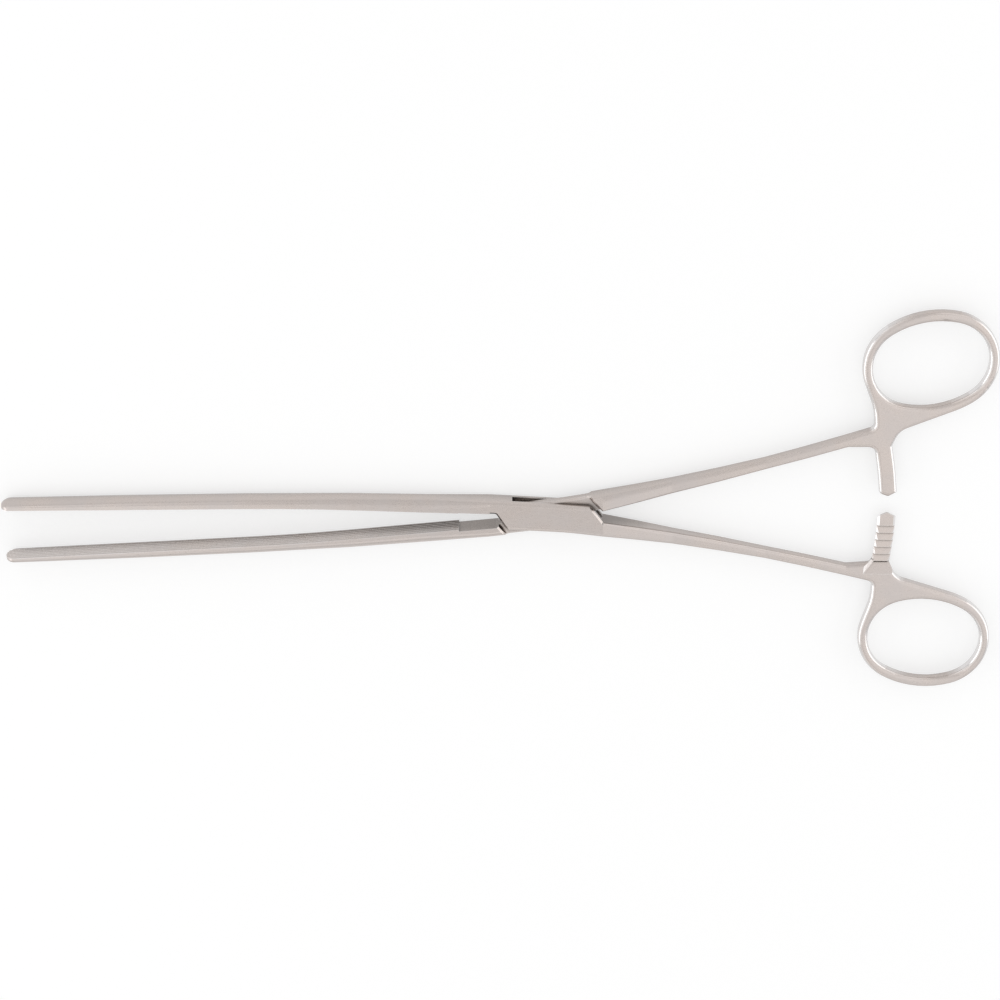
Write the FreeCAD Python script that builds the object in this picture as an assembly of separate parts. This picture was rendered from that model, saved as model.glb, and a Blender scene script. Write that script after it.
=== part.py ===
# Straight intestinal clamp: two bowed elastic jaws, a box lock, finger rings and a ratchet
import FreeCAD, Part
import math
import os

# All lengths are in millimetres and all angles in degrees
# Each half is drawn with the jaw tips touching, its jaw towards -X and -Y and its ring towards +X and +Y
# The box half is then mirrored in Y, and both halves are turned apart by the opening shown
rest_opening = 5.5

# Thickness of the lock and the jaws
body_thickness = 6.6

# Jaw, with its distance from the centre line and its depth at places along it
jaw_reach = 138.8
jaw_root_x = -14.0
jaw_root_gap = 1.05
bow_peak_x = -63.0
bow_peak_gap = 1.88
bow_radius = 600.0
jaw_heel_x = -30.0
jaw_heel_depth = 3.48
jaw_middle_x = -50.0
jaw_middle_depth = 3.1
jaw_fore_x = -76.0
jaw_fore_depth = 2.62
jaw_neb_x = -106.0
jaw_neb_depth = 2.4
jaw_tip_depth = 1.87
jaw_tip_run = 2.4
jaw_side_land = 0.5
jaw_crown_flat = 0.3

# Lengthwise serration of the jaw face, and the relief between it and the lock
serration_end_x = -22.0
serration_count = 6
serration_pitch = 1.0
serration_width = 0.5
serration_depth = 0.25
serration_run_out = 1.0
box_relief_depth = 0.1
inner_relief_depth = 0.5

# Box lock
lock_half_height = 3.75
lock_tilt = 2.3
slot_height = 2.8
slot_side_clearance = 0.05
slot_wall_x = 8.3
slot_floor_y = 0.8
tongue_end_x = 7.3
tongue_neck_x = 8.0
tongue_neck_y = 0.2
plate_left_foot_x = -12.4
plate_left_foot_round = 0.8
plate_left_top_x = -9.3
plate_right_x = 11.8
plate_end_bevel = 0.45
shoulder_gap = 0.9
shoulder_cove = 0.7
box_edge_round = 1.1
inner_edge_round = 1.9
near_edge = 0.6

# Pivot pin, riveted into the plates and free in the tongue
pin_radius = 1.6
pin_running_clearance = 0.04
pin_flare = 0.3
pin_flare_depth = 0.5

# Shank
shank_root_x = 15.0
shank_root_y = 2.9
shank_root_angle = 7.1
shank_root_width = 4.1
shank_root_inner_round = 0.4
shank_bow_radius = 600.0
shank_neck_x = 33.0
shank_neck_width = 3.4
shank_neck_thickness = 4.3
shank_waist_x = 57.0
shank_waist_width = 2.8
shank_waist_thickness = 3.3
shank_end_inset = 9.7
shank_end_width = 3.05
shoulder_bend_x = 6.0
shoulder_bend_radius = 90.0

# Finger ring and its web
handle_thickness = 3.2
handle_edge_round = 1.1
ring_offset = 11.75
ring_rise = 19.05
ring_tilt = 6.45
ring_opening_length = 29.2
ring_opening_width = 22.3
ring_opening_end_radius = 10.3
ring_end_band = 2.6
ring_side_band = 2.7
web_outer_inset = 2.85
web_outer_rise = 7.95
web_outer_round = 14.0
web_inner_offset = 3.5
web_inner_rise = 1.85
web_inner_round = 5.0
ring_crotch_round = 1.6
arm_crotch_round = 1.8

# Ratchet arm, which curves about the pivot, and its teeth
arm_radius = 87.7
arm_width = 4.6
arm_root_drop = 2.05
arm_reach = 1.8
arm_tip_gable = 1.1
arm_tip_round = 1.2
arm_step_run = 3.0
ratchet_gap = 0.1
tooth_count = 6
tooth_pitch = 1.97
tooth_depth = 0.6
tooth_side_bevel = 0.55
first_tooth_y = 1.86

half_body = body_thickness / 2
half_handle = handle_thickness / 2
half_slot = slot_height / 2
half_tongue = half_slot - slot_side_clearance
shank_end_x = arm_radius - shank_end_inset
ring_half_length = ring_opening_length / 2 + ring_end_band
ring_half_width = ring_opening_width / 2 + ring_side_band
ring_end_radius = ring_opening_end_radius + ring_side_band
lock_slope = math.tan(math.radians(lock_tilt))

# Reach of the cutters beyond what they cut, and how closely an edge's place is told
far = 10.0
beyond = 1.0
near = 0.001


def vector(x, y, z=0.0):
    return FreeCAD.Vector(x, y, z)


def path(corners, closed=False):
    # Wire through corners given as (x, y, radius), with a tangent arc wherever there is a radius
    points = [vector(x, y) for x, y, radius in corners]
    edges = []
    ends = []
    for index, (x, y, radius) in enumerate(corners):
        corner = points[index]
        start = corner
        end = corner
        arc = None
        if radius:
            back = (points[index - 1] - corner).normalize()
            ahead = (points[(index + 1) % len(points)] - corner).normalize()
            half_angle = back.getAngle(ahead) / 2
            start = corner + back * (radius / math.tan(half_angle))
            end = corner + ahead * (radius / math.tan(half_angle))
            middle = corner + (back + ahead).normalize() * (radius / math.sin(half_angle) - radius)
            arc = Part.Arc(start, middle, end).toShape()
        if index == 0:
            first = start
        else:
            edges.append(Part.makeLine(ends[-1], start))
        if arc:
            edges.append(arc)
        ends.append(end)
    if closed:
        edges.append(Part.makeLine(ends[-1], first))
    return Part.Wire(edges)


def prism(corners, bottom, top):
    # Solid of a plan outline between two heights
    face = Part.Face(path(corners, closed=True))
    face.translate(vector(0, 0, bottom))
    return face.extrude(vector(0, 0, top - bottom))


def polygon_face(points):
    return Part.Face(Part.makePolygon(points + points[:1]))


def mirrored_z(shape):
    return shape.mirror(vector(0, 0, 0), vector(0, 0, 1))


def quarter_ellipse(start, corner, end):
    curve = Part.BezierCurve()
    curve.setPoles([start, corner, end])
    curve.setWeight(2, math.sqrt(0.5))
    return curve.toShape()


def section(x, inner, outer, half_depth, inner_round, outer_round):
    # Cross-section of a jaw or shank, with each corner round given as its size along Y and along Z
    corners = (
        (vector(x, inner, -half_depth), inner_round),
        (vector(x, outer, -half_depth), outer_round),
        (vector(x, outer, half_depth), outer_round),
        (vector(x, inner, half_depth), inner_round),
    )
    rounds = []
    for index, (corner, (along_y, along_z)) in enumerate(corners):
        back = (corners[index - 1][0] - corner).normalize()
        ahead = (corners[(index + 1) % 4][0] - corner).normalize()
        start = corner + back * (abs(back.y) * along_y + abs(back.z) * along_z)
        end = corner + ahead * (abs(ahead.y) * along_y + abs(ahead.z) * along_z)
        rounds.append((start, corner, end))
    edges = []
    for index, (start, corner, end) in enumerate(rounds):
        edges.append(Part.makeLine(rounds[index - 1][2], start))
        if start.distanceToPoint(end) > 0:
            edges.append(quarter_ellipse(start, corner, end))
    return Part.Wire(edges)


def sloping_round(radius, start, end):
    # Size along Y and along Z of a round, cut square to X, along an edge from one point to another
    run = end[0] - start[0]
    return radius * math.hypot(run, end[1] - start[1]) / run, radius


def between(value, low, high, at_low, at_high):
    return at_low + (at_high - at_low) * (value - low) / (high - low)


def flat_edges(shape, height):
    # Edges that lie level at a height above or below the middle plane
    found = []
    for edge in shape.Edges:
        box = edge.BoundBox
        if box.ZLength < near and abs(abs(box.Center.z) - height) < near:
            found.append(edge)
    return found


def runs_across(edge):
    start = edge.Vertexes[0].Point
    end = edge.Vertexes[-1].Point
    return 2 * abs(end.y - start.y) > abs(end.x - start.x)


def lies_at_x(edge, x):
    return all(abs(vertex.X - x) < near for vertex in edge.Vertexes)


def jaw_gap(x):
    # Distance of the jaw face from the centre line, before the bow is blended
    if x < bow_peak_x:
        return between(x, -jaw_reach, bow_peak_x, 0.0, bow_peak_gap)
    return between(x, bow_peak_x, jaw_root_x, bow_peak_gap, jaw_root_gap)


def lock_edge(x, side):
    # Upper (+1) or lower (-1) edge of the lock, which crosses the centre line at a small tilt
    return lock_slope * x + side * lock_half_height


def jaw_blank(edge_round):
    # Half-round bar with a rounded tip, left proud of its inner face
    tip_start_x = jaw_tip_run - jaw_reach
    crown_round = half_body - jaw_crown_flat / 2
    lock_bottom = (jaw_root_x, lock_edge(jaw_root_x, -1)), (plate_right_x, lock_edge(plate_right_x, -1))
    wires = [section(jaw_root_x, beyond - jaw_gap(jaw_root_x), lock_edge(jaw_root_x, -1),
                     half_body, (0, 0), sloping_round(edge_round, *lock_bottom))]
    stations = (
        (jaw_heel_x, jaw_heel_depth),
        (jaw_middle_x, jaw_middle_depth),
        (jaw_fore_x, jaw_fore_depth),
        (jaw_neb_x, jaw_neb_depth),
        (tip_start_x, jaw_tip_depth),
    )
    for x, depth in stations:
        inner = -jaw_gap(x)
        wires.append(section(x, inner + beyond, inner - depth, half_body,
                             (0, 0), (depth - jaw_side_land, crown_round)))
    bar = Part.makeLoft(wires, True, True)
    front_half = Part.makeBox(2 * far, 2 * far, far, vector(tip_start_x - far, -far, 0))
    half_face = Part.Face(wires[-1]).common(front_half).Faces[0]
    tip = half_face.revolve(vector(tip_start_x, 0, 0), vector(0, 1, 0), -180)
    tip.translate(vector(-tip_start_x, 0, 0))
    flatten = FreeCAD.Matrix()
    flatten.scale(jaw_tip_run / half_body, 1.0, 1.0)
    tip = tip.transformGeometry(flatten)
    tip.translate(vector(tip_start_x, 0, 0))
    return bar.fuse(tip)


def jaw_face_cut(relief_depth):
    # What is cut off the blank: down to the bowed face, and deeper at the relief
    beyond_tip = -jaw_reach - far
    relief_end_gap = jaw_gap(serration_end_x)
    corners = (
        (jaw_root_x, -jaw_root_gap - relief_depth, 0),
        (jaw_root_x, far, 0),
        (beyond_tip, far, 0),
        (beyond_tip, -jaw_gap(beyond_tip), 0),
        (bow_peak_x, -bow_peak_gap, bow_radius),
        (serration_end_x, -relief_end_gap, 0),
        (serration_end_x, -relief_end_gap - relief_depth, 0),
    )
    return prism(corners, -far, far)


def serrations():
    # V grooves that follow the bowed face from the relief out through the tip
    start_x = serration_end_x + serration_run_out
    beyond_tip = -jaw_reach - beyond
    half_width = serration_width / 2
    grooves = []
    for index in range(serration_count):
        z = (index - (serration_count - 1) / 2) * serration_pitch
        face_path = path((
            (start_x, -jaw_gap(start_x), 0),
            (bow_peak_x, -bow_peak_gap, bow_radius),
            (beyond_tip, -jaw_gap(beyond_tip), 0),
        ))
        face_y = -jaw_gap(start_x)
        groove_y = face_y - serration_depth
        profile = Part.makePolygon([
            vector(start_x, groove_y, 0),
            vector(start_x, groove_y + 2 * serration_depth, 2 * half_width),
            vector(start_x, groove_y + 2 * serration_depth, -2 * half_width),
            vector(start_x, groove_y, 0),
        ])
        groove = face_path.makePipeShell([profile], True, True)
        groove.translate(vector(0, 0, z))
        grooves.append(groove)
    return grooves


def jaw(relief_depth, edge_round):
    return jaw_blank(edge_round).cut(jaw_face_cut(relief_depth)).cut(serrations())


def shank_middle(x):
    run = x - shank_root_x
    return shank_root_y + math.tan(math.radians(shank_root_angle)) * run + run ** 2 / (2 * shank_bow_radius)


def shank_edge(x, width, side):
    return shank_middle(x) + side * width / 2


def shank_corner(x, width, side):
    return x, shank_edge(x, width, side)


# Where the ring, web and arm start, from the arm's radius and the height of the shank's end
shank_end_y = shank_middle(shank_end_x)
ring_centre = vector(arm_radius + ring_offset, shank_end_y + ring_rise)
web_outer = vector(arm_radius - web_outer_inset, shank_end_y + web_outer_rise)
web_inner = vector(arm_radius + web_inner_offset, shank_end_y + web_inner_rise)
arm_root_y = shank_end_y - arm_root_drop


def shank(edge_round):
    # Lofted between named stations and halfway stations, with rounds that meet those of the lock and handle
    lock_top = (shoulder_bend_x, lock_edge(shoulder_bend_x, 1))
    root_top = shank_corner(shank_root_x, shank_root_width, 1)
    root_inner = (shank_root_inner_round, shank_root_inner_round)
    root_outer = sloping_round(edge_round, lock_top, root_top)
    plain = (handle_edge_round, handle_edge_round)
    end_inner = sloping_round(handle_edge_round, shank_corner(shank_end_x, shank_end_width, -1),
                              arm_point(arm_root_y, -1))
    end_outer = sloping_round(handle_edge_round, shank_corner(shank_end_x, shank_end_width, 1),
                              web_crotch())
    stations = (
        (shank_root_x, shank_root_width, body_thickness, *root_inner, *root_outer),
        (shank_neck_x, shank_neck_width, shank_neck_thickness, *plain, *plain),
        (shank_waist_x, shank_waist_width, shank_waist_thickness, *plain, *plain),
        (shank_end_x, shank_end_width, handle_thickness, *end_inner, *end_outer),
    )
    filled = [stations[0]]
    for station in stations[1:]:
        filled.append([(before + after) / 2 for before, after in zip(filled[-1], station)])
        filled.append(station)
    wires = []
    for x, width, thickness, *rounds in filled:
        wires.append(section(x, shank_edge(x, width, -1), shank_edge(x, width, 1), thickness / 2,
                             rounds[:2], rounds[2:]))
    return Part.makeLoft(wires, True, True)


def lock_bar(relief_depth, edge_round, left_end, right_end):
    # Full-thickness bar of the lock, between two end outlines, with its long edges rounded
    corners = (
        ((jaw_root_x, -jaw_root_gap - relief_depth, 0),)
        + left_end
        + ((shoulder_bend_x, lock_edge(shoulder_bend_x, 1), shoulder_bend_radius),
           (shank_root_x, shank_edge(shank_root_x, shank_root_width, 1), 0),
           (shank_root_x, shank_edge(shank_root_x, shank_root_width, -1), 0))
        + right_end
        + ((jaw_root_x, lock_edge(jaw_root_x, -1), 0),)
    )
    bar = prism(corners, -half_body, half_body)
    long_edges = []
    for edge in flat_edges(bar, half_body):
        middle = edge.BoundBox.Center
        offset = abs(middle.y - lock_slope * middle.x)
        if not runs_across(edge) and offset > lock_half_height - near_edge:
            long_edges.append(edge)
    return bar.makeFillet(edge_round, long_edges)


def bevel_ends(shape):
    # Small bevel along the slanting ends that face the other half
    ends = []
    for edge in flat_edges(shape, half_body):
        on_joint = lies_at_x(edge, jaw_root_x) or lies_at_x(edge, shank_root_x)
        if runs_across(edge) and not on_joint:
            ends.append(edge)
    return shape.makeChamfer(plate_end_bevel, ends)


def box_bar():
    # Two plates with the slot between them, which opens above, below and towards the other half
    foot_y = -jaw_gap(plate_left_foot_x) - box_relief_depth
    left_end = (
        (plate_left_foot_x, foot_y, plate_left_foot_round),
        (plate_left_top_x, lock_edge(plate_left_top_x, 1), 0),
    )
    right_end = ((plate_right_x, lock_edge(plate_right_x, -1), 0),)
    bar = bevel_ends(lock_bar(box_relief_depth, box_edge_round, left_end, right_end))
    shank_inner = shank_edge(shank_root_x, shank_root_width, -1)
    slot = prism((
        (-slot_wall_x, -far, 0),
        (shank_root_x, -far, 0),
        (shank_root_x, shank_inner, 0),
        (slot_wall_x, slot_floor_y, 0),
        (slot_wall_x, far, 0),
        (jaw_root_x, far, 0),
        (jaw_root_x, -jaw_root_gap - box_relief_depth, 0),
        (-slot_wall_x, -slot_floor_y, 0),
    ), -half_slot, half_slot)
    return bar.cut(slot)


def shoulder_line(start_x, start_y, end_x, end_y):
    # Long line beside a plate's end in the closed position, set off by the shoulder gap
    start = vector(start_x, start_y)
    end = vector(end_x, end_y)
    along = (end - start).normalize()
    off = vector(along.y, -along.x) * shoulder_gap
    if off.x * start_x < 0:
        off = off * -1
    return start - along * far + off, end + along * far + off


def pocket():
    # What is milled off one side of the tongue, with a cove at each shoulder
    left_top, left_bottom = shoulder_line(
        plate_left_foot_x, jaw_gap(plate_left_foot_x) + box_relief_depth,
        plate_left_top_x, -lock_edge(plate_left_top_x, 1))
    right_top, right_bottom = shoulder_line(
        plate_right_x, -lock_edge(plate_right_x, -1),
        shank_root_x, -shank_edge(shank_root_x, shank_root_width, -1))
    corners = [(point.x, point.y, 0) for point in (left_top, left_bottom, right_bottom, right_top)]
    block = prism(corners, half_tongue, far)
    coves = [edge for edge in flat_edges(block, half_tongue) if runs_across(edge)]
    return block.makeFillet(shoulder_cove, coves)


def tongue_bar():
    # Bar that passes through the slot: thinned between two shoulders and cut clear of the slot's walls
    foot_y = -jaw_gap(plate_left_foot_x) - inner_relief_depth
    left_end = (
        (plate_left_foot_x, foot_y, 0),
        (-tongue_neck_x, tongue_neck_y, 0),
        (-tongue_end_x, lock_edge(-tongue_end_x, 1), 0),
    )
    right_end = (
        (tongue_neck_x, -tongue_neck_y, 0),
        (tongue_end_x, lock_edge(tongue_end_x, -1), 0),
    )
    bar = lock_bar(inner_relief_depth, inner_edge_round, left_end, right_end)
    bar = bar.cut([pocket(), mirrored_z(pocket())])
    return bevel_ends(bar)


def ring_point(x, y):
    # Place given along and across the ring, measured from its centre
    along = math.cos(math.radians(ring_tilt))
    across = math.sin(math.radians(ring_tilt))
    return ring_centre + vector(x * along - y * across, x * across + y * along)


def side_arc_radius(half_length, half_width, end_radius):
    reach = half_length - end_radius
    return (reach ** 2 + half_width ** 2 - end_radius ** 2) / (2 * (half_width - end_radius))


def oval(half_length, half_width, end_radius):
    # Solid oval at the ring's place, of two end arcs and two side arcs that meet smoothly
    side_radius = side_arc_radius(half_length, half_width, end_radius)
    share = side_radius / (side_radius - end_radius)
    join_x = (half_length - end_radius) * share
    join_y = (side_radius - half_width) * (share - 1)
    stops = (
        (join_x, join_y), (0, half_width), (-join_x, join_y), (-half_length, 0),
        (-join_x, -join_y), (0, -half_width), (join_x, -join_y), (half_length, 0),
        (join_x, join_y),
    )
    points = [ring_point(x, y) for x, y in stops]
    arcs = [Part.Arc(*points[index:index + 3]).toShape() for index in range(0, 8, 2)]
    face = Part.Face(Part.Wire(arcs))
    face.translate(vector(0, 0, -half_handle))
    return face.extrude(vector(0, 0, handle_thickness))


def tangent_point(centre, radius, outside, side):
    # Where a line from a point outside a circle touches it, on either side
    line = outside - centre
    angle = math.atan2(line.y, line.x) + side * math.acos(radius / line.Length)
    return centre + vector(radius * math.cos(angle), radius * math.sin(angle))


def arm_point(y, side):
    # Point on one side of the ratchet arm, on a circle about the pivot
    radius = arm_radius + side * arm_width / 2
    return math.sqrt(radius ** 2 - y ** 2), y


def web_crotch():
    # Corner between the shank and the web on the outer side
    return shank_corner(web_outer.x, shank_end_width, 1)


def handle_plate():
    # Web and ratchet arm in one outline, joined to the ring
    side_radius = side_arc_radius(ring_half_length, ring_half_width, ring_end_radius)
    outer_join = tangent_point(ring_point(ring_end_radius - ring_half_length, 0), ring_end_radius,
                               web_outer, -1)
    inner_join = tangent_point(ring_point(0, side_radius - ring_half_width), side_radius,
                               web_inner, 1)
    arm_bend_y = arm_root_y / 2
    tip_corner_y = arm_tip_gable - arm_reach
    corners = (
        (*shank_corner(shank_end_x, shank_end_width, -1), 0),
        (*arm_point(arm_root_y, -1), arm_crotch_round),
        (*arm_point(arm_bend_y, -1), arm_radius - arm_width / 2),
        (*arm_point(tip_corner_y, -1), arm_tip_round),
        (arm_radius, -arm_reach, arm_tip_round),
        (*arm_point(tip_corner_y, 1), 0),
        (*arm_point(arm_bend_y, 1), arm_radius + arm_width / 2),
        (*arm_point(arm_root_y, 1), 0),
        (web_inner.x, web_inner.y, web_inner_round),
        (inner_join.x, inner_join.y, 0),
        (ring_centre.x, ring_centre.y, 0),
        (outer_join.x, outer_join.y, 0),
        (web_outer.x, web_outer.y, web_outer_round),
        (*web_crotch(), ring_crotch_round),
        (*shank_corner(shank_end_x, shank_end_width, 1), 0),
    )
    return prism(corners, -half_handle, half_handle)


def strip_bevel(side, crest, end_y):
    # Ring section about the pivot that bevels one long edge of the toothed strip, up to a height in Y
    edge_radius = arm_radius + side * arm_width / 2
    inner = edge_radius - side * tooth_side_bevel
    outer = edge_radius + side * beyond
    start_angle = -math.degrees((arm_reach + beyond) / arm_radius)
    end_angle = math.degrees(math.asin(end_y / arm_radius))
    bevel = polygon_face([
        vector(edge_radius, 0, crest - tooth_side_bevel),
        vector(inner, 0, crest),
        vector(outer, 0, crest),
        vector(outer, 0, crest - tooth_side_bevel),
    ]).revolve(vector(0, 0, 0), vector(0, 0, 1), end_angle - start_angle)
    bevel.rotate(vector(0, 0, 0), vector(0, 0, 1), start_angle)
    return bevel


def ratchet_cut():
    # What is cut off the toothed side of the arm: down to the tooth crests, the notches and the ramp
    crest = -ratchet_gap / 2
    root = crest - tooth_depth
    last_tooth_y = first_tooth_y + (tooth_count - 1) * tooth_pitch
    ramp_top = last_tooth_y + arm_step_run
    low_x = shank_end_x
    across = vector(2 * far, 0, 0)
    step = polygon_face([
        vector(low_x, -far, crest),
        vector(low_x, last_tooth_y, crest),
        vector(low_x, last_tooth_y, root),
        vector(low_x, ramp_top, half_handle),
        vector(low_x, ramp_top, far),
        vector(low_x, -far, far),
    ]).extrude(across)
    arm_side_x = arm_radius - arm_width / 2
    side_limit = polygon_face([
        vector(arm_side_x, -far, root),
        vector(low_x + 2 * far, -far, root),
        vector(low_x + 2 * far, -far, far),
        vector(arm_side_x - arm_step_run, -far, far),
        vector(arm_side_x - arm_step_run, -far, half_handle),
    ]).extrude(vector(0, 3 * far, 0))
    cuts = [step.common(side_limit)]
    cuts += [strip_bevel(side, crest, last_tooth_y) for side in (-1, 1)]
    for index in range(tooth_count - 1):
        y = first_tooth_y + index * tooth_pitch
        cuts.append(polygon_face([
            vector(low_x, y, crest),
            vector(low_x, y, root),
            vector(low_x, y + tooth_pitch, crest),
        ]).extrude(across))
    return cuts


def handle():
    # Ring, web and arm, with every outer edge rounded
    outer = oval(ring_half_length, ring_half_width, ring_end_radius)
    opening = oval(ring_opening_length / 2, ring_opening_width / 2, ring_opening_end_radius)
    solid = outer.fuse(handle_plate()).cut(opening).removeSplitter()
    edges = [edge for edge in flat_edges(solid, half_handle) if not lies_at_x(edge, shank_end_x)]
    return solid.makeFillet(handle_edge_round, edges)


def half(bar, relief_depth, edge_round, toothed_on_front):
    # One forged half, from jaw tip to finger ring
    cuts = ratchet_cut()
    if not toothed_on_front:
        cuts = [mirrored_z(cut) for cut in cuts]
    pieces = [bar, shank(edge_round), handle().cut(cuts)]
    return jaw(relief_depth, edge_round).fuse(pieces).removeSplitter()


def pin():
    # Shaft with both ends flared into the plates and ground flush
    shaft = Part.makeCylinder(pin_radius, body_thickness, vector(0, 0, -half_body))
    flare = Part.makeCone(pin_radius, pin_radius + pin_flare, pin_flare_depth,
                          vector(0, 0, half_body - pin_flare_depth))
    return shaft.fuse([flare, mirrored_z(flare)]).removeSplitter()


def box_half():
    solid = half(box_bar(), box_relief_depth, box_edge_round, True).mirror(vector(0, 0, 0), vector(0, 1, 0))
    solid.rotate(vector(0, 0, 0), vector(0, 0, 1), -rest_opening / 2)
    return solid.cut(pin())


def inner_half():
    solid = half(tongue_bar(), inner_relief_depth, inner_edge_round, False)
    solid.rotate(vector(0, 0, 0), vector(0, 0, 1), rest_opening / 2)
    bore = Part.makeCylinder(pin_radius + pin_running_clearance, body_thickness, vector(0, 0, -half_body))
    return solid.cut(bore)


os.makedirs("parts", exist_ok=True)
nodes = {
    "box_half": box_half(),
    "inner_half": inner_half(),
    "pivot_pin": pin(),
}
for name, shape in nodes.items():
    shape.translate(vector(0, 0, half_body))
    print(name, len(shape.Solids), shape.isValid(), round(shape.Volume, 2))
    shape.exportStep("parts/" + name + ".step")
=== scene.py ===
# Straight intestinal clamp of satin stainless steel, lying on a pale studio floor
import math

import bpy
from mathutils import Matrix, Vector

# Camera, found from the two finger rings: where it looks, how far off it is, and its tilt and roll
CAMERA_TARGET = Vector((-0.0112, 0.0043, 0.0033))
CAMERA_DISTANCE = 0.707
CAMERA_TILT = math.radians(22.6)
CAMERA_ROLL = math.radians(1.84)
CAMERA_LENS = 99.7
CAMERA_SENSOR = 36.0
CAMERA_CLIP_START = 0.01

# Steel, as linear colours
STEEL = (0.57, 0.508, 0.475, 1.0)
STEEL_COOL = (0.55, 0.502, 0.48, 1.0)
# The dark is the speckle's own grain and also the painted shade in grooves and hollows
STEEL_SPECKLE_AND_PAINTED_SHADE = (0.09, 0.08, 0.07, 1.0)
# The bright is edges worn bright and also the painted highlight on the rounds of the handles
STEEL_WORN_AND_PAINTED_HIGHLIGHT = (0.75, 0.735, 0.73, 1.0)

# Noises of the surface: clouds of tone, blasted speckle, and brushing drawn out along X
CLOUD_SCALE = 90.0
SPECKLE_SCALE = 4200.0
BRUSHING_SCALE = 900.0
BRUSHING_SQUEEZE = (1.0, 9.0, 9.0)
PIN_BRUSHING_TURN = math.radians(35.0)

# Where the clouds go from one tone to the other, and how much of the dark the speckle takes
CLOUD_SPAN = (0.35, 0.65)
SPECKLE_SPAN = (0.55, 0.75)
SPECKLE_DARKENING = 0.16

# Edges worn bright: how wide they are, how well the rounded normal lines up with the true one where
# the wear starts and where it is full, and how much of it is left at the low end of the clouds
WEAR_WIDTH = 0.00025
WEAR_SAMPLES = 4
WEAR_SPAN = (0.99, 0.9)
WEAR_AT_LOW_CLOUD = 0.35

# How far from the pivot the lock is ground over, so that the pin hardly shows
PIN_BLEND = 0.0023

# Painted highlight on the rounds of the handles that face along X: how much they face along X, and the
# X where it starts and is full
PAINTED_HIGHLIGHT_FACING = (0.25, 0.6)
PAINTED_HIGHLIGHT_PLACE = (0.07, 0.085)

# Painted shade in the grooves and in the hollows near other parts: how far they look for cover, the
# openness where they are full and where they end, and how much of the dark they take
SKY_SAMPLES = 6
PAINTED_GROOVE_SHADE_REACH = 0.0009
PAINTED_GROOVE_SHADE_SPAN = (0.5, 0.85)
PAINTED_GROOVE_SHADE_DARKENING = 0.65
PAINTED_HOLLOW_SHADE_REACH = 0.008
PAINTED_HOLLOW_SHADE_SPAN = (0.4, 0.85)
PAINTED_HOLLOW_SHADE_DARKENING = 0.5

# Roughness at the two ends of the brushing, the span of noise that it follows, how much the clouds
# shift it either way, and how much less it is where the steel is bright
ROUGHNESS = (0.25, 0.34)
ROUGHNESS_SPAN = (0.3, 0.7)
ROUGHNESS_CLOUD_SHIFT = 0.03
ROUGHNESS_BRIGHT_DROP = 0.1

# Relief of the grain
GRAIN_STRENGTH = 0.25
GRAIN_HEIGHT = 0.00002
GRAIN_FROM_SPECKLE = 0.6
GRAIN_FROM_BRUSHING = 0.4

# How strongly the world lights things; what is seen of it has strength 1
WORLD_LEVEL = 0.6

# Floor: its size, its colour, and what is added to it where it is seen
FLOOR_SIZE = 6.0
FLOOR_COLOUR = (0.5, 0.5, 0.5, 1.0)
FLOOR_LIFT = 0.575
# Keeps the floor clear of the lock's back face, which lies at Z = 0
FLOOR_GAP = 0.0002

# Soft panels: name, place, tilt about X and Y in degrees, size and power
PANELS = (
    ("key_left", (-0.55, 0.0, 1.15), (0.0, 0.0), (0.8, 1.6), 1.9),
    ("key_right", (0.55, 0.0, 1.15), (0.0, 0.0), (0.8, 1.6), 1.8),
    ("fill_behind_left", (-0.75, 1.1, 0.6), (-61.0, 0.0), (1.0, 0.7), 1.3),
    ("fill_behind_right", (0.75, 1.1, 0.6), (-61.0, 0.0), (1.0, 0.7), 1.3),
    ("fill_front", (0.0, -1.05, 0.7), (56.0, 0.0), (1.6, 0.6), 1.2),
    ("side_left", (-1.1, -0.15, 0.42), (0.0, -69.0), (0.8, 1.4), 3.8),
    ("side_right", (1.1, 0.1, 0.42), (0.0, 69.0), (0.8, 1.4), 3.3),
)


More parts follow.
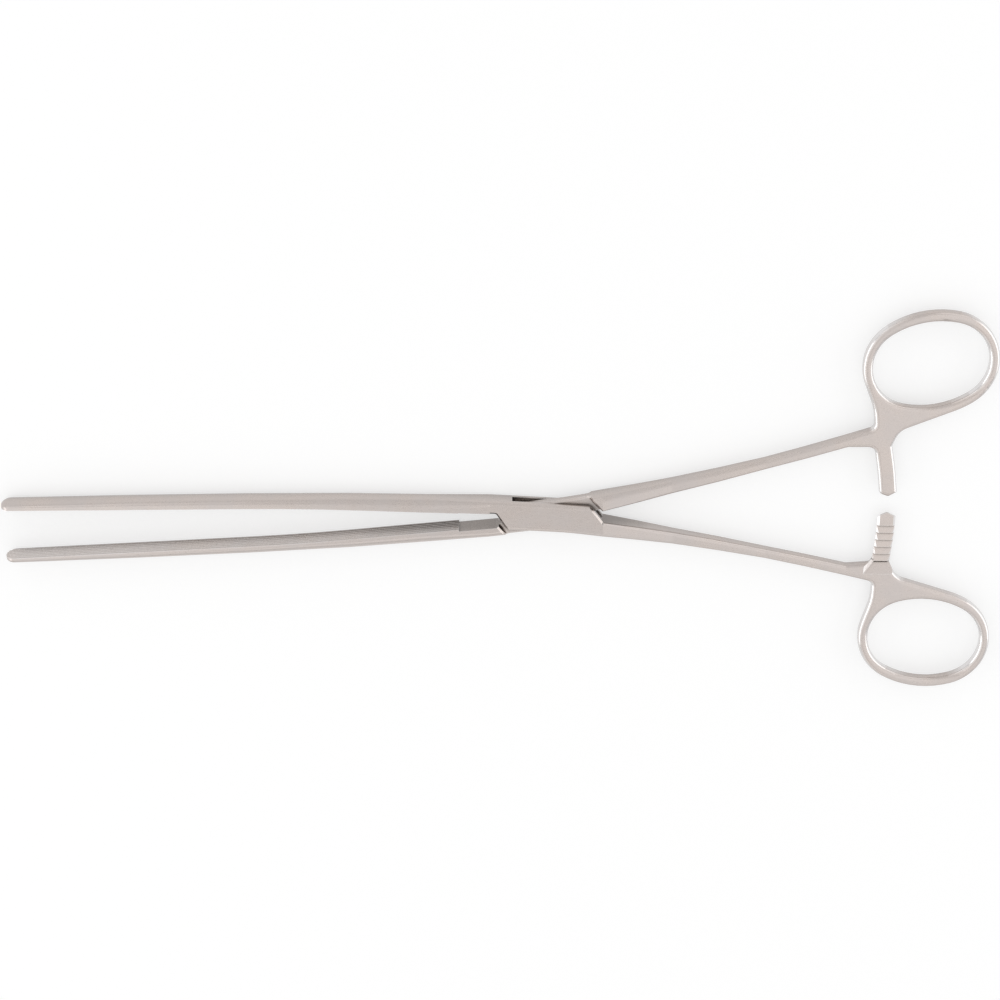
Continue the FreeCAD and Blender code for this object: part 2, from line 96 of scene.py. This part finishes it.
class Nodes:
    # Short calls for building a shader tree
    def __init__(self, tree):
        self.tree = tree
        tree.nodes.clear()

    def add(self, kind, inputs=(), **settings):
        node = self.tree.nodes.new(kind)
        for name, value in settings.items():
            setattr(node, name, value)
        for socket, value in inputs:
            self.feed(node, socket, value)
        return node

    def feed(self, node, socket, value):
        if isinstance(value, bpy.types.NodeSocket):
            self.tree.links.new(value, node.inputs[socket])
        else:
            node.inputs[socket].default_value = value

    def maths(self, operation, first, second=0.0, clamp=False):
        inputs = [(0, first), (1, second)]
        return self.add("ShaderNodeMath", inputs, operation=operation, use_clamp=clamp).outputs[0]

    def vector_maths(self, operation, *inputs):
        return self.add("ShaderNodeVectorMath", list(enumerate(inputs)), operation=operation)

    def remap(self, value, span, at_low, at_high):
        # Goes from one value to the other while the input crosses the span, and stays level outside it
        node = self.add("ShaderNodeMapRange", [
            ("Value", value), ("From Min", span[0]), ("From Max", span[1]),
            ("To Min", at_low), ("To Max", at_high)])
        return node.outputs["Result"]

    def blend(self, share, first, second):
        # The colour sockets of this node are its inputs 6 and 7 and its output 2
        inputs = [("Factor", share), (6, first), (7, second)]
        return self.add("ShaderNodeMix", inputs, data_type="RGBA").outputs[2]

    def noise(self, place, scale, detail, roughness):
        node = self.add("ShaderNodeTexNoise", [
            ("Vector", place), ("Scale", scale), ("Detail", detail), ("Roughness", roughness)])
        return node.outputs["Fac"]

    def part_x(self, vector):
        return self.add("ShaderNodeSeparateXYZ", [("Vector", vector)]).outputs["X"]

    def open_sky(self, reach):
        # Share of the surroundings within reach that nothing covers
        node = self.add("ShaderNodeAmbientOcclusion", [("Distance", reach)], samples=SKY_SAMPLES)
        return node.outputs["AO"]

    def seen(self):
        # 1 for what the camera, a reflection or glass shows, and 0 for light that falls on things
        rays = self.add("ShaderNodeLightPath")
        either = self.maths("MAXIMUM", rays.outputs["Is Camera Ray"], rays.outputs["Is Glossy Ray"])
        return self.maths("MAXIMUM", either, rays.outputs["Is Transmission Ray"])


def new_material(name):
    material = bpy.data.materials.new(name)
    material.use_nodes = True
    return material, Nodes(material.node_tree)


def worn_edges(nodes, place, cloud):
    # Where an edge is worn bright, which the ground-over pin has none of
    rounded = nodes.add("ShaderNodeBevel", [("Radius", WEAR_WIDTH)], samples=WEAR_SAMPLES)
    surface = nodes.add("ShaderNodeNewGeometry")
    alignment = nodes.vector_maths("DOT_PRODUCT", rounded.outputs["Normal"], surface.outputs["Normal"])
    worn = nodes.remap(alignment.outputs["Value"], WEAR_SPAN, 0.0, 1.0)
    patches = nodes.remap(cloud, CLOUD_SPAN, WEAR_AT_LOW_CLOUD, 1.0)
    worn = nodes.maths("MULTIPLY", worn, patches, clamp=True)
    level = nodes.vector_maths("MULTIPLY", place, (1.0, 1.0, 0.0)).outputs[0]
    from_pivot = nodes.vector_maths("LENGTH", level).outputs["Value"]
    return nodes.maths("MULTIPLY", worn, nodes.maths("GREATER_THAN", from_pivot, PIN_BLEND))


# Painted highlight: the rounds of the handles that face along X, past a given X, are made brighter
def painted_highlight_rounds(nodes, place, normal):
    facing = nodes.maths("ABSOLUTE", nodes.part_x(normal))
    painted_highlight = nodes.remap(facing, PAINTED_HIGHLIGHT_FACING, 0.0, 1.0)
    return nodes.maths("MULTIPLY", painted_highlight, nodes.remap(nodes.part_x(place), PAINTED_HIGHLIGHT_PLACE, 0.0, 1.0))


def satin_steel(name, brushing_turn):
    # Blasted, lightly brushed steel: fine grain, cloudy patches, painted shade in grooves and hollows,
    # bright worn edges, and a painted highlight on the rounds of the handles
    material, nodes = new_material(name)
    coordinates = nodes.add("ShaderNodeTexCoord")
    place = coordinates.outputs["Object"]
    along_brushing = nodes.add("ShaderNodeMapping", [
        ("Vector", place), ("Rotation", (0.0, 0.0, brushing_turn)), ("Scale", BRUSHING_SQUEEZE)])

    cloud = nodes.noise(place, CLOUD_SCALE, detail=3.0, roughness=0.6)
    speckle = nodes.noise(place, SPECKLE_SCALE, detail=2.0, roughness=0.6)
    brushing = nodes.noise(along_brushing.outputs["Vector"], BRUSHING_SCALE, detail=3.0, roughness=0.65)

    # Painted shade in the grooves: darker where surfaces close by cover them
    painted_groove_shade = nodes.remap(nodes.open_sky(PAINTED_GROOVE_SHADE_REACH), PAINTED_GROOVE_SHADE_SPAN, PAINTED_GROOVE_SHADE_DARKENING, 0.0)
    # Painted shade in the hollows near other parts: darker where surfaces farther off cover them
    painted_hollow_shade = nodes.remap(nodes.open_sky(PAINTED_HOLLOW_SHADE_REACH), PAINTED_HOLLOW_SHADE_SPAN, PAINTED_HOLLOW_SHADE_DARKENING, 0.0)
    worn = worn_edges(nodes, place, cloud)
    # Painted highlight on the rounds of the handles
    painted_highlight = painted_highlight_rounds(nodes, place, coordinates.outputs["Normal"])
    worn_and_painted_highlight = nodes.maths("MAXIMUM", worn, painted_highlight, clamp=True)

    colour = nodes.blend(nodes.remap(cloud, CLOUD_SPAN, 0.0, 1.0), STEEL, STEEL_COOL)
    colour = nodes.blend(nodes.remap(speckle, SPECKLE_SPAN, 0.0, SPECKLE_DARKENING), colour, STEEL_SPECKLE_AND_PAINTED_SHADE)
    # Painted shade in the hollows near other parts
    colour = nodes.blend(painted_hollow_shade, colour, STEEL_SPECKLE_AND_PAINTED_SHADE)
    # Painted shade in the grooves
    colour = nodes.blend(painted_groove_shade, colour, STEEL_SPECKLE_AND_PAINTED_SHADE)
    # Edges worn bright, together with the painted highlight on the rounds of the handles
    colour = nodes.blend(worn_and_painted_highlight, colour, STEEL_WORN_AND_PAINTED_HIGHLIGHT)

    roughness = nodes.remap(brushing, ROUGHNESS_SPAN, *ROUGHNESS)
    shift = nodes.remap(cloud, ROUGHNESS_SPAN, -ROUGHNESS_CLOUD_SHIFT, ROUGHNESS_CLOUD_SHIFT)
    roughness = nodes.maths("ADD", roughness, shift)
    smoother = nodes.maths("MULTIPLY", worn_and_painted_highlight, ROUGHNESS_BRIGHT_DROP)
    roughness = nodes.maths("SUBTRACT", roughness, smoother, clamp=True)

    height = nodes.maths("ADD", nodes.maths("MULTIPLY", speckle, GRAIN_FROM_SPECKLE),
                         nodes.maths("MULTIPLY", brushing, GRAIN_FROM_BRUSHING))
    grain = nodes.add("ShaderNodeBump", [
        ("Strength", GRAIN_STRENGTH), ("Distance", GRAIN_HEIGHT), ("Height", height)])

    shader = nodes.add("ShaderNodeBsdfPrincipled", [
        ("Base Color", colour), ("Metallic", 1.0), ("Roughness", roughness),
        ("Normal", grain.outputs["Normal"])])
    nodes.add("ShaderNodeOutputMaterial", [("Surface", shader.outputs[0])])
    return material


def floor_material():
    # Pale floor, lifted to white for the camera and for reflections, that still shows the shadow
    material, nodes = new_material("studio_floor")
    pale = nodes.add("ShaderNodeBsdfDiffuse", [("Color", FLOOR_COLOUR)])
    glow = nodes.maths("MULTIPLY", nodes.seen(), FLOOR_LIFT)
    lift = nodes.add("ShaderNodeEmission", [("Strength", glow)])
    both = nodes.add("ShaderNodeAddShader", [(0, pale.outputs[0]), (1, lift.outputs[0])])
    nodes.add("ShaderNodeOutputMaterial", [("Surface", both.outputs[0])])
    return material


def make_floor():
    bpy.ops.mesh.primitive_plane_add(size=FLOOR_SIZE, location=(0.0, 0.0, -FLOOR_GAP))
    floor = bpy.context.object
    floor.name = "floor"
    floor.data.materials.append(floor_material())


def make_lights():
    for name, place, (tilt_x, tilt_y), size, power in PANELS:
        data = bpy.data.lights.new(name, "AREA")
        data.shape = "RECTANGLE"
        data.size, data.size_y = size
        data.energy = power
        panel = bpy.data.objects.new(name, data)
        panel.location = place
        panel.rotation_euler = (math.radians(tilt_x), math.radians(tilt_y), 0.0)
        bpy.context.collection.objects.link(panel)


def make_world():
    # White surroundings, as in a light tent, a little dimmer as light that falls on things
    world = bpy.context.scene.world or bpy.data.worlds.new("studio")
    bpy.context.scene.world = world
    world.use_nodes = True
    nodes = Nodes(world.node_tree)
    strength = nodes.remap(nodes.seen(), (0.0, 1.0), WORLD_LEVEL, 1.0)
    background = nodes.add("ShaderNodeBackground", [("Strength", strength)])
    nodes.add("ShaderNodeOutputWorld", [("Surface", background.outputs[0])])


def make_camera():
    # The rows of the turn are the picture's right, its up, and the way from the clamp to the camera
    across = math.sin(CAMERA_ROLL)
    along = math.cos(CAMERA_ROLL)
    flat = math.cos(CAMERA_TILT)
    right = Vector((along, -across, 0.0))
    up = Vector((flat * across, flat * along, -math.sin(CAMERA_TILT)))
    back = right.cross(up)
    data = bpy.data.cameras.new("photo_camera")
    data.sensor_width = CAMERA_SENSOR
    data.lens = CAMERA_LENS
    data.clip_start = CAMERA_CLIP_START
    camera = bpy.data.objects.new("photo_camera", data)
    turn = Matrix((right, up, back)).transposed()
    camera.matrix_world = Matrix.Translation(CAMERA_TARGET + back * CAMERA_DISTANCE) @ turn.to_4x4()
    bpy.context.collection.objects.link(camera)
    bpy.context.scene.camera = camera


def dress(frame):
    half_steel = satin_steel("satin_steel", 0.0)
    pin_steel = satin_steel("pin_steel", PIN_BRUSHING_TURN)
    for name, node in frame["nodes"].items():
        material = pin_steel if name == "pivot_pin" else half_steel
        for slot in node.material_slots:
            slot.material = material


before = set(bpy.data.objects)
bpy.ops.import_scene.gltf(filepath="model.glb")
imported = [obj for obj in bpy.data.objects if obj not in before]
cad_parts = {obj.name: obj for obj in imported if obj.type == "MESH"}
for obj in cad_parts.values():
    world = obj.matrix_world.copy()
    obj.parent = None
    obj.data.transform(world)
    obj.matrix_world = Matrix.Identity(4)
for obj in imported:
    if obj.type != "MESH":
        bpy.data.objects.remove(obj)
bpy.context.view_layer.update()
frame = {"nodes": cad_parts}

bpy.context.scene.view_settings.view_transform = "Standard"
make_camera()
make_floor()
make_lights()
make_world()
dress(frame)
